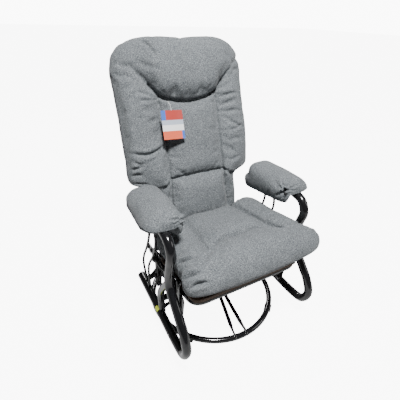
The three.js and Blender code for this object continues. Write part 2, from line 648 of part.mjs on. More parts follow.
// An arm on the rod's inner end, with a pin that presses on the brake arc.
function leverShoe() {
  const [y, z] = LEVER_AXIS;
  const tip = [y + SHOE_REACH[0], z + SHOE_REACH[1]];
  const shape = hole(roundedOutline([
    [y - 10, z + 10, 8], [y - 10, z - 8, 8], [tip[0] - 8, tip[1] - 7, 6], [tip[0] + 7, tip[1] - 7, 6],
    [tip[0] + 8, tip[1] + 8, 6], [y + 10, z + 10, 8],
  ]), LEVER_AXIS, LEVER_ROD + LEVER_CLEARANCE);
  const pin = turned(-1, tip, [[GLIDE_X[0] + 1, SHOE_X[0] + PLATE / 2, LEVER_ROD]], 10);
  return geometryOf(solid(sidePlate(shape, -1, ...SHOE_X)).add(solid(pin)));
}

function lever() {
  const [y, z] = LEVER_AXIS;
  const knob = new THREE.SphereGeometry(KNOB_RADIUS, 16, 10).translate(-FRAME_HALF - 6, y + 58, z + 17);
  add(chair, 'lock_lever_rod', leverRod(), paint());
  add(chair, 'lock_lever_knob', cut(knob, leverRod(GAP)), plastic());
  add(chair, 'lock_lever_shoe', leverShoe(), zinc());
}

chair.add(floorBase());
swivel();
fixedFrame();
glideLinks();
seatFrame();
backFrame();
lever();

// Origin under the middle of the whole chair.
chair.updateMatrixWorld(true);
const centre = new THREE.Box3().setFromObject(chair, true).getCenter(new THREE.Vector3());
chair.position.y = -centre.y;
chair.updateMatrixWorld(true);

export default chair;
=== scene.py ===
# %% [markdown]
# # A glider nursery chair
# The chair has two kinds of piece. Bent black tube and pressed plates are exact things, and they come
# from the frame as they are or are swept again with a finer skin. Cushions are soft things: each starts
# from a plain form, is blown up like a bag by a cloth simulation with its seams held down, and is then
# creased. All places are in metres, with the chair facing -Y.

# %% Load the frame
import math

import bmesh
import bpy
import numpy as np
from mathutils import Matrix, Vector


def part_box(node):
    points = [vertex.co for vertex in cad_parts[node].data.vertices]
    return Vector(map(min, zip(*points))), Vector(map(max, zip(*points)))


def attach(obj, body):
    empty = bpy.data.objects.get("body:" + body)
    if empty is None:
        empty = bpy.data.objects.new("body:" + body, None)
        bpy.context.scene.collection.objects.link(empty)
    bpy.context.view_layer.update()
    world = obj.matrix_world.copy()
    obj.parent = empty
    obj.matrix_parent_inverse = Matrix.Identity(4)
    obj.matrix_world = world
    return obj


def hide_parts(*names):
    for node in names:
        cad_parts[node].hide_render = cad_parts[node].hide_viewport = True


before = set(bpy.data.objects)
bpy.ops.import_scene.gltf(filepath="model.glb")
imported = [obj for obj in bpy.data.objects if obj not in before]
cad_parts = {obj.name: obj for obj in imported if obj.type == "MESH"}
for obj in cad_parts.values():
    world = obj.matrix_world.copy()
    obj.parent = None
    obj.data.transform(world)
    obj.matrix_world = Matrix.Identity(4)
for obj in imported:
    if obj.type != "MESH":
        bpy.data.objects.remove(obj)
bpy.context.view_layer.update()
RING_LOW, RING_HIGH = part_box("base_ring")
RING_Y = (RING_LOW.y + RING_HIGH.y) / 2

# %% [markdown]
# ## Camera
# The chair is seen from above and from its right front corner, at arm's length, with a wide lens. The
# place is given from the middle of the floor ring. Heading turns the view towards +X from +Y.

# %% Camera
CAMERA_FROM_RING = np.array([-0.5796, -0.8809, 1.1391])
CAMERA_HEADING, CAMERA_DROP, CAMERA_ROLL = 0.518, 0.541, 0.036
CAMERA_FOCAL_SHARE = 310.26 / 400


def camera_axes(heading, drop, roll):
    """Right, up and forward: forward is the heading dropped below level, and roll turns the other two."""
    ahead = math.cos(drop)
    forward = np.array([math.sin(heading) * ahead, math.cos(heading) * ahead, -math.sin(drop)])
    level = np.array([math.cos(heading), -math.sin(heading), 0.0])
    upright = np.cross(level, forward)
    right = math.cos(roll) * level + math.sin(roll) * upright
    return right, np.cross(right, forward), forward


def place_camera():
    data = bpy.data.cameras.new("camera")
    data.sensor_width = 36
    data.lens = data.sensor_width * CAMERA_FOCAL_SHARE
    camera = bpy.data.objects.new("camera", data)
    bpy.context.scene.collection.objects.link(camera)
    right, up, forward = camera_axes(CAMERA_HEADING, CAMERA_DROP, CAMERA_ROLL)
    place = CAMERA_FROM_RING + np.array([0, RING_Y, 0])
    rows = np.column_stack([right, up, -forward, place])
    camera.matrix_world = Matrix([[*row] for row in rows] + [[0, 0, 0, 1]])
    bpy.context.scene.camera = camera


place_camera()

# %% [markdown]
# ## Floor and light
# A pale floor that runs off to a pale world, one strong lamp high over the front, one weak lamp at the
# right, and one behind for the highlights along the black tubes.

# %% Floor and light
def shader_of(material):
    material.use_nodes = True
    return material.node_tree.nodes["Principled BSDF"]


def flat_material(name, colour, roughness=0.8, metallic=0.0, coat=0.0):
    material = bpy.data.materials.new(name)
    shader = shader_of(material)
    shader.inputs["Base Color"].default_value = (*colour, 1)
    shader.inputs["Roughness"].default_value = roughness
    shader.inputs["Metallic"].default_value = metallic
    shader.inputs["Coat Weight"].default_value = coat
    return material


def area_light(name, place, target, size, power):
    data = bpy.data.lights.new(name, "AREA")
    data.shape = "DISK"
    data.size, data.energy = size, power
    lamp = bpy.data.objects.new(name, data)
    bpy.context.scene.collection.objects.link(lamp)
    lamp.location = place
    lamp.rotation_euler = (Vector(target) - Vector(place)).to_track_quat("-Z", "Y").to_euler()


def lit_for_camera(tree, socket, seen, lighting):
    """The socket is the first value where the camera looks straight at it, and the second as a light."""
    path = tree.nodes.new("ShaderNodeLightPath")
    scaled = tree.nodes.new("ShaderNodeMath")
    scaled.operation = "MULTIPLY_ADD"
    scaled.inputs[1].default_value, scaled.inputs[2].default_value = seen - lighting, lighting
    tree.links.new(path.outputs["Is Camera Ray"], scaled.inputs[0])
    tree.links.new(scaled.outputs[0], socket)


def studio():
    bpy.ops.mesh.primitive_plane_add(size=60, location=(0, 0, 0))
    floor = bpy.context.object
    floor.name = "studio_floor"
    pale = flat_material("pale_floor", (0.4, 0.4, 0.4), 0.9)
    shader_of(pale).inputs["Emission Color"].default_value = (1, 1, 1, 1)
    lit_for_camera(pale.node_tree, shader_of(pale).inputs["Emission Strength"], 8.5, 0.0)
    floor.data.materials.append(pale)
    world = bpy.data.worlds.new("pale_world")
    world.use_nodes = True
    background = world.node_tree.nodes["Background"]
    background.inputs["Color"].default_value = (1, 1, 1, 1)
    lit_for_camera(world.node_tree, background.inputs["Strength"], 10.0, 0.09)
    bpy.context.scene.world = world
    area_light("key", (-0.35, -1.1, 3.1), (0, -0.1, 0.4), 0.55, 195)
    area_light("fill", (2.2, -1.8, 1.6), (0, 0, 0.5), 1.2, 9)
    area_light("rim", (0.6, 2.4, 2.0), (0, 0, 0.6), 1.0, 40)


studio()

# %% [markdown]
# ## Materials
# The fabric is a heather: threads of dark and pale grey lie crossed, so a fine noise drawn out one way is
# mixed with the same noise drawn out the other way, over a slower fleck. Patterns read Object
# coordinates, in metres. The paint is black and glossy with a little orange peel.

# %% Materials
def noise(material, stretch, detail, roughness=0.5):
    """Noise on Object coordinates, multiplied by the stretch along X, Y and Z."""
    tree = material.node_tree
    place = tree.nodes.new("ShaderNodeTexCoord")
    scaled = tree.nodes.new("ShaderNodeMapping")
    scaled.inputs["Scale"].default_value = stretch
    texture = tree.nodes.new("ShaderNodeTexNoise")
    tree.links.new(place.outputs["Object"], scaled.inputs["Vector"])
    tree.links.new(scaled.outputs["Vector"], texture.inputs["Vector"])
    for socket, value in [("Scale", 1.0), ("Detail", detail), ("Roughness", roughness)]:
        texture.inputs[socket].default_value = value
    return texture.outputs[0]


def ramp(material, source, stops):
    """Colours that follow a value, from (place, grey or colour) pairs."""
    tree = material.node_tree
    node = tree.nodes.new("ShaderNodeValToRGB")
    node.color_ramp.elements[0].position, node.color_ramp.elements[1].position = stops[0][0], stops[-1][0]
    for place, _ in stops[1:-1]:
        node.color_ramp.elements.new(place)
    for element, (_, colour) in zip(node.color_ramp.elements, stops):
        element.color = (*colour, 1) if hasattr(colour, "__len__") else (colour, colour, colour, 1)
    tree.links.new(source, node.inputs["Fac"])
    return node.outputs["Color"]


def mixed(material, a, b, share, blend="MIX"):
    tree = material.node_tree
    node = tree.nodes.new("ShaderNodeMix")
    node.data_type, node.blend_type = "RGBA", blend
    node.inputs[0].default_value = share
    tree.links.new(a, node.inputs[6])
    tree.links.new(b, node.inputs[7])
    return node.outputs[2]


def add_bump(material, height, strength, distance):
    tree = material.node_tree
    bump = tree.nodes.new("ShaderNodeBump")
    bump.inputs["Strength"].default_value = strength
    bump.inputs["Distance"].default_value = distance
    tree.links.new(height, bump.inputs["Height"])
    tree.links.new(bump.outputs["Normal"], shader_of(material).inputs["Normal"])


def fabric_material():
    material = flat_material("heather_fabric", (0.2, 0.21, 0.23), 0.92)
    tree, shader = material.node_tree, shader_of(material)
    along = noise(material, (1300, 1300, 420), 2.0, 0.6)
    across = noise(material, (420, 1100, 1300), 2.0, 0.6)
    fleck = noise(material, (320, 320, 320), 3.0, 0.75)
    slow = noise(material, (9, 9, 9), 2.0)
    threads = mixed(material, along, across, 0.5)
    value = mixed(material, threads, fleck, 0.55)
    colour = ramp(material, value, [(0.37, (0.024, 0.029, 0.033)), (0.46, (0.090, 0.101, 0.109)),
                                    (0.55, (0.185, 0.199, 0.208)), (0.66, (0.50, 0.52, 0.53))])
    shade = ramp(material, slow, [(0.3, 0.88), (0.7, 1.0)])
    tree.links.new(mixed(material, colour, shade, 1.0, "MULTIPLY"), shader.inputs["Base Color"])
    tree.links.new(ramp(material, threads, [(0.3, 0.98), (0.7, 0.82)]), shader.inputs["Roughness"])
    shader.inputs["Sheen Weight"].default_value = 0.12
    shader.inputs["Sheen Roughness"].default_value = 0.5
    shader.inputs["Specular IOR Level"].default_value = 0.25
    add_bump(material, threads, 0.5, 0.0012)
    return material


def paint_material():
    material = flat_material("black_paint", (0.006, 0.006, 0.007), 0.2, 0.0, 0.7)
    shader = shader_of(material)
    shader.inputs["Coat Roughness"].default_value = 0.08
    wear = noise(material, (40, 40, 40), 3.0)
    polish = ramp(material, wear, [(0.35, 0.13), (0.7, 0.22)])
    material.node_tree.links.new(polish, shader.inputs["Roughness"])
    peel = noise(material, (900, 900, 900), 1.0)
    add_bump(material, peel, 0.06, 0.0004)
    return material


def wood_material():
    material = flat_material("board", (0.17, 0.09, 0.045), 0.6)
    plies = noise(material, (12, 12, 500), 3.0)
    tree = material.node_tree
    colour = ramp(material, plies, [(0.35, (0.05, 0.03, 0.02)), (0.65, (0.12, 0.07, 0.042))])
    tree.links.new(colour, shader_of(material).inputs["Base Color"])
    return material


FABRIC, PAINT, WOOD = fabric_material(), paint_material(), wood_material()
ZINC = flat_material("bright_zinc", (0.72, 0.73, 0.75), 0.24, 1.0)
PLASTIC = flat_material("black_plastic", (0.012, 0.012, 0.013), 0.28, 0.0, 0.3)
RUBBER = flat_material("black_rubber", (0.02, 0.02, 0.02), 0.75)

# %% [markdown]
# ## Shape helpers
# A tube is a circle carried along a smooth line. The line passes through a few chosen points by the
# centripetal spline, which never loops between close points, and the circle is turned along the line
# without twist. A turned piece is a profile of radii spun about a line along X. A plate from the frame
# is copied, welded and given rounded edges.

# %% Lines and tubes
def spline(points, steps):
    """Centripetal Catmull-Rom line through the points, resampled to equal steps along its length."""
    p = np.asarray(points, float)
    p = np.vstack([2 * p[0] - p[1], p, 2 * p[-1] - p[-2]])
    knots = np.concatenate([[0], np.cumsum(np.linalg.norm(np.diff(p, axis=0), axis=1) ** 0.5)])
    fine = []
    for i in range(1, len(p) - 2):
        t = np.linspace(knots[i], knots[i + 1], 60, endpoint=False)[:, None]
        k = knots[i - 1:i + 3]
        a = [(k[j + 1] - t) / (k[j + 1] - k[j]) * p[i - 1 + j] + (t - k[j]) / (k[j + 1] - k[j]) * p[i + j]
             for j in range(3)]
        b = [(k[j + 2] - t) / (k[j + 2] - k[j]) * a[j] + (t - k[j]) / (k[j + 2] - k[j]) * a[j + 1]
             for j in range(2)]
        fine.append((k[2] - t) / (k[2] - k[1]) * b[0] + (t - k[1]) / (k[2] - k[1]) * b[1])
    fine = np.vstack(fine + [p[-2]])
    run = np.concatenate([[0], np.cumsum(np.linalg.norm(np.diff(fine, axis=0), axis=1))])
    at = np.linspace(0, run[-1], steps + 1)
    return np.column_stack([np.interp(at, run, fine[:, i]) for i in range(3)])


def carried_frames(line):
    """Two unit vectors across the line at each point, carried along it with the least turning."""
    ahead = np.gradient(line, axis=0)
    ahead /= np.linalg.norm(ahead, axis=1)[:, None]
    first = np.cross(ahead[0], [1.0, 0.02, 0.03])
    across = [first / np.linalg.norm(first)]
    for direction in ahead[1:]:
        side = across[-1] - direction * (across[-1] @ direction)
        across.append(side / np.linalg.norm(side))
    across = np.array(across)
    return across, np.cross(ahead, across)


def grid_faces(rows, columns, ring=False):
    """Quads between neighbouring rows of a grid whose columns wrap round; a ring's rows wrap as well."""
    i, j = np.meshgrid(np.arange(rows if ring else rows - 1), np.arange(columns), indexing="ij")
    right = (j + 1) % columns
    below = (i + 1) % rows
    return np.stack([i * columns + j, below * columns + j, below * columns + right, i * columns + right],
                    axis=-1).reshape(-1, 4)


def make_mesh(name, vertices, faces, smooth=True):
    mesh = bpy.data.meshes.new(name)
    mesh.from_pydata(np.asarray(vertices).tolist(), [], [list(map(int, face)) for face in faces])
    mesh.validate()
    piece = bpy.data.objects.new(name, mesh)
    bpy.context.scene.collection.objects.link(piece)
    mesh.polygons.foreach_set("use_smooth", np.full(len(mesh.polygons), smooth))
    face_out(piece)
    return piece


def face_out(piece):
    """Recalculates the normals, and turns the whole piece over if its volume is negative."""
    work = bmesh.new()
    work.from_mesh(piece.data)
    bmesh.ops.recalc_face_normals(work, faces=work.faces)
    if work.calc_volume(signed=True) < 0:
        bmesh.ops.reverse_faces(work, faces=work.faces)
    work.to_mesh(piece.data)
    work.free()


def skin(name, grid, smooth=True):
    """A closed piece from rows of points that wrap round, with a fan over the first and the last row."""
    rows, columns = grid.shape[:2]
    vertices = np.vstack([grid.reshape(-1, 3), grid[0].mean(0), grid[-1].mean(0)])
    faces = grid_faces(rows, columns).tolist()
    first, last, base = rows * columns, rows * columns + 1, (rows - 1) * columns
    faces += [[first, (j + 1) % columns, j] for j in range(columns)]
    faces += [[last, base + j, base + (j + 1) % columns] for j in range(columns)]
    return make_mesh(name, vertices, faces, smooth)


def tube(name, points, diameter, steps=80, sides=24, flatten=None):
    """A circle carried along the spline, with small rounded ends. flatten(t) scales its two half-axes."""
    line = spline(points, steps)
    across, up = carried_frames(line)
    t = np.linspace(0, 1, len(line))
    wide, thick = flatten(t) if flatten else (np.ones_like(t), np.ones_like(t))
    angle = np.linspace(0, 2 * np.pi, sides, endpoint=False)
    circle = np.stack([np.cos(angle), np.sin(angle)], axis=-1) * diameter / 2
    body = (line[:, None, :] + circle[None, :, :1] * (across * wide[:, None])[:, None, :]
            + circle[None, :, 1:] * (up * thick[:, None])[:, None, :])
    start = line[0] + (body[0] - line[0]) * 0.88 - (line[1] - line[0]) * 0.2
    end = line[-1] + (body[-1] - line[-1]) * 0.88 + (line[-1] - line[-2]) * 0.2
    return skin(name, np.concatenate([start[None], body, end[None]]))


def torus(name, radius, diameter, height):
    """A round tube bent to a closed ring about the Z axis."""
    turn, angle = np.meshgrid(np.linspace(0, 2 * np.pi, 144, endpoint=False),
                              np.linspace(0, 2 * np.pi, 24, endpoint=False), indexing="ij")
    reach = radius + diameter / 2 * np.cos(angle)
    rise = height + diameter / 2 * np.sin(angle)
    grid = np.stack([reach * np.cos(turn), reach * np.sin(turn), rise], axis=-1)
    return make_mesh(name, millimetres(grid.reshape(-1, 3)), grid_faces(144, 24, ring=True))


def turned(name, side, place, profile, sides=32):
    """A profile of (x, radius) pairs in millimetres, spun about a line along X at place (y, z)."""
    angle = np.linspace(0, 2 * np.pi, sides, endpoint=False)
    rows = [np.stack([np.full(sides, side * x), place[0] + radius * np.cos(angle),
                      place[1] + radius * np.sin(angle)], axis=-1) for x, radius in profile]
    return skin(name, millimetres(np.array(rows)))


def bolt_profile(bands):
    """Steps of [from x, to x, diameter] with each step's two edges eased over 0.8 mm."""
    profile = []
    for start, end, diameter in bands:
        ease = min(0.8, (end - start) / 4)
        profile += [(start, diameter / 2 - ease), (start + ease * 0.3, diameter / 2 - ease * 0.3),
                    (start + ease, diameter / 2), (end - ease, diameter / 2),
                    (end - ease * 0.3, diameter / 2 - ease * 0.3), (end, diameter / 2 - ease)]
    return profile


def rounded_copy(node, width):
    """A copy of a frame node, welded, with its sharp edges rounded over the width."""
    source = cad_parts[node]
    piece = bpy.data.objects.new(f"{node}_rounded", source.data.copy())
    bpy.context.scene.collection.objects.link(piece)
    piece.data.transform(source.matrix_world)
    work = bmesh.new()
    work.from_mesh(piece.data)
    bmesh.ops.remove_doubles(work, verts=work.verts, dist=1e-5)
    bmesh.ops.dissolve_limit(work, angle_limit=math.radians(1), verts=work.verts, edges=work.edges)
    sharp = [edge for edge in work.edges if edge.calc_face_angle(0) > math.radians(35)]
    bmesh.ops.bevel(work, geom=sharp, offset=width, offset_type="WIDTH", segments=2, profile=0.6,
                    affect="EDGES", clamp_overlap=True)
    work.to_mesh(piece.data)
    work.free()
    piece.data.polygons.foreach_set("use_smooth", np.full(len(piece.data.polygons), True))
    piece.data.set_sharp_from_angle(angle=math.radians(30))
    return piece


def millimetres(points):
    """Points given in millimetres from the middle of the floor ring, as metres in the frame."""
    return np.asarray(points, float) / 1000 + np.array([0, RING_Y, 0])


def finish_piece(piece, body, slot, material, *nodes):
    piece.data.materials.clear()
    piece.data.materials.append(material)
    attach(piece, body)
    if nodes:
        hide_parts(*nodes)
    print(piece.name, len(piece.data.vertices), "points")
    return piece


SIDES = [("left", 1), ("right", -1)]

# %% [markdown]
# ## Floor base
# The ring lies on the floor. Four pairs of thin tubes rise from it to the hub; each tube's foot is
# pressed flat over the ring and held by a bright rivet. The base stands turned by 4 degrees.

# %% Floor base
BASE_TURN = math.radians(-4)


def turned_about_z(points, angle):
    c, s = math.cos(angle), math.sin(angle)
    return np.asarray(points, float) @ np.array([[c, s, 0], [-s, c, 0], [0, 0, 1]])


def pressed_foot(t):
    """Half-axes of a tube whose first tenth is pressed to a strap and eases back to round."""
    flat = 1 - np.clip((t - 0.1) / 0.12, 0, 1) ** 2 * (3 - 2 * np.clip((t - 0.1) / 0.12, 0, 1))
    return 1 + 0.42 * flat, 1 - 0.62 * flat


def strut_tube(name, way, turn):
    line = [[281, way * 26.5, 26], [262, way * 25.6, 28.5], [236, way * 23.6, 35], [150, way * 15.5, 66],
            [22.5, way * 5, 113.5]]
    return tube(name, millimetres(turned_about_z(line, turn)), 0.016, 70, 20, pressed_foot)


def rivet(name, way, turn):
    """A low dome, 11 mm across."""
    angle = np.linspace(0, 2 * np.pi, 20, endpoint=False)
    rows = [[270 + r * math.cos(a), way * 26.1 + r * math.sin(a), z] for r, z in
            [(4.6, 22), (5.5, 29.5), (5.5, 31.2), (4.6, 33), (2.8, 34.2)] for a in angle]
    return skin(name, millimetres(turned_about_z(rows, turn)).reshape(5, 20, 3))


def joined(name, pieces):
    """Several pieces made one object, in their order."""
    with bpy.context.temp_override(active_object=pieces[0], selected_editable_objects=pieces):
        bpy.ops.object.join()
    pieces[0].name = name
    return pieces[0]


finish_piece(torus("ring_tube", 272, 24, 14), "floor_base", "frame_paint", PAINT, "base_ring")
for index, place in enumerate(["left", "rear", "right", "front"]):
    turn = BASE_TURN + index * math.pi / 2
    tubes = [strut_tube(f"strut_{place}_{way}", way, turn) for way in (1, -1)]
    pair = joined(f"strut_pair_{place}", tubes)
    finish_piece(pair, "floor_base", "frame_paint", PAINT, f"base_strut_{place}")
    heads = [rivet(f"rivet_{place}_{way}", way, turn) for way in (1, -1)]
    rivets = joined(f"strut_rivets_{place}", heads)
    finish_piece(rivets, "floor_base", "zinc", ZINC)

# %% [markdown]
# ## Fixed side frames
# The big bent tube of each side, the strut inside it, the cross tubes and the pairs of thin rods keep
# the frame's own centre lines and get a finer skin.

# %% Side frames
LOOP = [[158, 98], [28, 94], [-238, 84], [-284, 96], [-308, 148], [-286, 204], [-239.5, 257], [-171, 336],
        [-182, 431], [-192, 482], [-170, 524], [-122, 538], [84, 538]]
STRUT = [[-169, 342], [-125, 286], [-77, 207.4], [-67, 159.4], [-71, 90]]
ROD_OUTER = [[40, 538], [32, 425], [71, 325], [124, 233], [136, 183], [90, 96]]
ROD_INNER = [[-4, 538], [-32, 425], [5, 325], [62, 233], [74, 183], [62, 96]]
REAR_CROSS = [[284, 98], [248, 102], [200, 145.4], [110, 159.4]]


def in_side_plane(points, x):
    """Places (y, z) at one x, or each at its own."""
    places = np.array(points, float)
    return millimetres(np.column_stack([np.broadcast_to(x, len(places)), places]))


for name, side in SIDES:
    for piece_name, line, x, diameter, steps, node in [
            ("loop_tube", LOOP, 284, 0.034, 200, "side_loop"),
            ("strut_tube", STRUT, [284, 284, 281, 278, 276], 0.028, 60, "front_strut"),
            ("rod_outer", ROD_OUTER, 276, 0.010, 90, "rear_rod_outer"),
            ("rod_inner", ROD_INNER, 276, 0.010, 90, "rear_rod_inner")]:
        piece = tube(f"{piece_name}_{name}", in_side_plane(line, side * np.array(x)), diameter, steps, 28)
        finish_piece(piece, "outer_frame", "frame_paint", PAINT, f"{node}_{name}")

front = tube("cross_front", millimetres([[x, -67, 159.4] for x in (-284, 0, 284)]), 0.025, 20, 28)
finish_piece(front, "outer_frame", "frame_paint", PAINT, "cross_tube_front")
half = [[x, 121, z] for x, z in REAR_CROSS]
rear = tube("cross_rear", millimetres(half + [[-x, y, z] for x, y, z in half[::-1]]), 0.025, 120, 28)
finish_piece(rear, "outer_frame", "frame_paint", PAINT, "cross_tube_rear")

# %% [markdown]
# ## Plates, bolts and the brake lever
# Pressed plates keep the frame's shape with their edges rounded. Bolts are turned again with eased
# edges. The lever is a bent rod with a black ball on its end.

# %% Plates and bolts
BACK_TILT, SEAT_TILT = math.radians(17), math.radians(8.45)
RECLINE_Y, RECLINE_Z, SEAT_TUBE_Z = 100, 275, 249.7
LINK = (249.3, 254.3)
FRONT_PLATE, REAR_PLATE, GLIDE_PLATE = (261.7, 266.7), (265.7, 270.7), (240.6, 245.6)


def back_place(points):
    """Points (x, s up the back, n forward of the recline axis) in millimetres, as metres in the frame."""
    x, s, n = np.moveaxis(np.asarray(points, float), -1, 0)
    c, w = math.cos(BACK_TILT), math.sin(BACK_TILT)
    return millimetres(np.stack([x, RECLINE_Y - n * c + s * w, RECLINE_Z + n * w + s * c], axis=-1))


def seat_place(points):
    """Points (x, y along the seat, z off its tube's centre) in millimetres, as metres in the frame."""
    x, y, z = np.moveaxis(np.asarray(points, float), -1, 0)
    c, w = math.cos(SEAT_TILT), math.sin(SEAT_TILT)
    return millimetres(np.stack([x, y * c + z * w, SEAT_TUBE_Z - y * w + z * c], axis=-1))


def plate(node, body, width=0.0008, slot="frame_paint", material=None):
    return finish_piece(rounded_copy(node, width), body, slot, material or PAINT, node)


for name, side in SIDES:
    plate(f"front_pivot_plate_{name}", "outer_frame")
    plate(f"rear_pivot_plate_{name}", "outer_frame")
    plate(f"glide_link_front_{name}", f"link_front_{name}")
    plate(f"glide_link_rear_{name}", f"link_rear_{name}")
    plate(f"glide_plate_{name}", "seat_frame")
    plate(f"recline_bracket_{name}", "seat_frame")
    plate(f"back_arm_{name}", "back_frame")
    for place, (y, z), inner in [("front", (-170, 325), FRONT_PLATE), ("rear", (38, 325), REAR_PLATE)]:
        bands = [(LINK[0] - 6.3, LINK[0] - 0.3, 18), (LINK[0] - 0.3, LINK[1] + 0.3, 9.4),
                 (LINK[1] + 0.3, inner[0] - 0.3, 15.4), (inner[0] - 0.3, inner[1] - 0.3, 9.4)]
        if place == "rear":
            bands[3:] = [(inner[0] - 0.3, inner[1] + 0.3, 9.4), (inner[1] + 0.3, inner[1] + 6.3, 18)]
        upper = turned(f"upper_pin_{place}_{name}", side, (y, z), bolt_profile(bands))
        finish_piece(upper, "outer_frame", "zinc", ZINC, f"upper_bolt_{place}_{name}")
        bands = [(GLIDE_PLATE[0] - 6.3, GLIDE_PLATE[0] - 0.3, 18),
                 (GLIDE_PLATE[0] - 0.3, GLIDE_PLATE[1] + 0.3, 9.4),
                 (GLIDE_PLATE[1] + 0.3, LINK[0] - 0.3, 15.4), (LINK[0] - 0.3, LINK[1] + 0.3, 9.4),
                 (LINK[1] + 0.3, LINK[1] + 6.3, 18)]
        lower = turned(f"lower_pin_{place}_{name}", side, (y, z - 190), bolt_profile(bands))
        finish_piece(lower, "seat_frame", "zinc", ZINC, f"lower_bolt_{place}_{name}")

plate("swivel_hub", "floor_base", 0.0015)
plate("swivel_upper_plate", "outer_frame")
plate("seat_board", "seat_frame", 0.0012, "plywood", WOOD)
for number in range(1, 5):
    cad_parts[f"floor_pad_{number}"].data.materials[0] = RUBBER
for node in ["swivel_lower_race", "swivel_upper_race", "recline_bolt_left", "recline_bolt_right",
             "lock_lever_shoe"]:
    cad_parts[node].data.materials[0] = ZINC


def seat_tube_line():
    """A straight leg, a quarter bend of 45 mm and the straight front, then the mirror of it."""
    leg = [[226.3, y, 0] for y in np.linspace(114, -205, 12)]
    bend = [[226.3 - 45 * t * t, -205 - 45 * (2 * t - t * t), 0] for t in np.linspace(0.2, 0.8, 4)]
    front = [[x, -250, 0] for x in np.linspace(181.3, 20, 6)]
    line = leg + bend + front
    return seat_place(line + [[-x, y, z] for x, y, z in line[::-1]])


def back_tube_line():
    side = [[188.3, 20], [188.3, 350], [188.3, 610], [164.3, 676], [98.3, 700]]
    return back_place([[x, s, -30] for x, s in side] + [[-x, s, -30] for x, s in side[::-1]])


seat_bow = tube("seat_bow", seat_tube_line(), 0.028, 260, 28)
finish_piece(seat_bow, "seat_frame", "frame_paint", PAINT, "seat_tube")
back_bow = tube("back_bow", back_tube_line(), 0.022, 200, 20)
finish_piece(back_bow, "back_frame", "frame_paint", PAINT, "back_tube")
LEVER = [[256.4, -120, 352], [261.7, -120, 352], [271.7, -120, 352], [280, -114, 354], [288, -96, 359],
         [290, -70, 367]]
lever = tube("lever_rod", millimetres([[-x, y, z] for x, y, z in LEVER]), 0.008, 60, 20)
finish_piece(lever, "lock_lever", "frame_paint", PAINT, "lock_lever_rod")


def ball(name, centre, radius):
    """A ball with a small flat at each end along Y."""
    angle = np.linspace(0, 2 * np.pi, 32, endpoint=False)
    rows = [[radius * math.sin(a) * math.cos(b), radius * math.cos(a), radius * math.sin(a) * math.sin(b)]
            for a in np.linspace(0.12, math.pi - 0.12, 20) for b in angle]
    return skin(name, millimetres(np.array(rows) + centre).reshape(20, 32, 3))


finish_piece(ball("lever_ball", [-290, -62, 369], 14), "lock_lever", "knob", PLASTIC, "lock_lever_knob")

# %% [markdown]
# ## Soft forms
# A cushion starts as rings of points. Each ring is a superellipse, |u/a|^p + |v/b|^p = 1, whose sizes
# follow a short table along the cushion. The rings are closed, evened out by a voxel remesh, and blown
# up by cloth with a little pressure. Points near a seam are held, so the fabric stands up between seams.

# %% Soft helpers
def ease(value, start, end):
    """0 before start, 1 after end, and 3t^2 - 2t^3 between them."""
    t = np.clip((value - start) / (end - start), 0, 1)
    return t * t * (3 - 2 * t)


def vectors(source, field):
    flat = np.empty(len(source) * 3)
    source.foreach_get(field, flat)
    return flat.reshape(-1, 3)


def points_of(piece):
    return vectors(piece.data.vertices, "co")


def set_points(piece, points):
    piece.data.vertices.foreach_set("co", np.ascontiguousarray(points, dtype=np.float32).ravel())
    piece.data.update()


def normals_of(piece):
    return vectors(piece.data.vertex_normals, "vector")


def baked(piece):
    """Takes the result of the modifiers as the piece's own mesh."""
    graph = bpy.context.evaluated_depsgraph_get()
    done = bpy.data.meshes.new_from_object(piece.evaluated_get(graph))
    piece.modifiers.clear()
    piece.data = done
    piece.data.polygons.foreach_set("use_smooth", np.full(len(done.polygons), True))


def remeshed(piece, voxel):
    modifier = piece.modifiers.new("even", "REMESH")
    modifier.mode, modifier.voxel_size = "VOXEL", voxel
    baked(piece)


def superellipse(a, b, power, count):
    """Points (u, v) with |u/a|^power + |v/b|^power = 1."""
    angle = 2 * np.pi * (np.arange(count) + 0.5) / count
    shape = lambda value: np.sign(value) * np.abs(value) ** (2 / power)
    return a * shape(np.cos(angle)), b * shape(np.sin(angle))


def table(rows, at, softness=2.0):
    """Each column of the rows, read at the places by straight lines and smoothed over a few places."""
    rows = np.array(sorted(rows), float)
    spread = np.exp(-0.5 * (np.arange(-6, 7) / softness) ** 2)
    columns = []
    for column in rows.T[1:]:
        value = np.interp(at, rows[:, 0], column)
        padded = np.concatenate([np.full(6, value[0]), value, np.full(6, value[-1])])
        smooth = np.convolve(padded, spread / spread.sum(), "valid")
        smooth[:2], smooth[-2:] = value[:2], value[-2:]
        columns.append(smooth)
    return columns


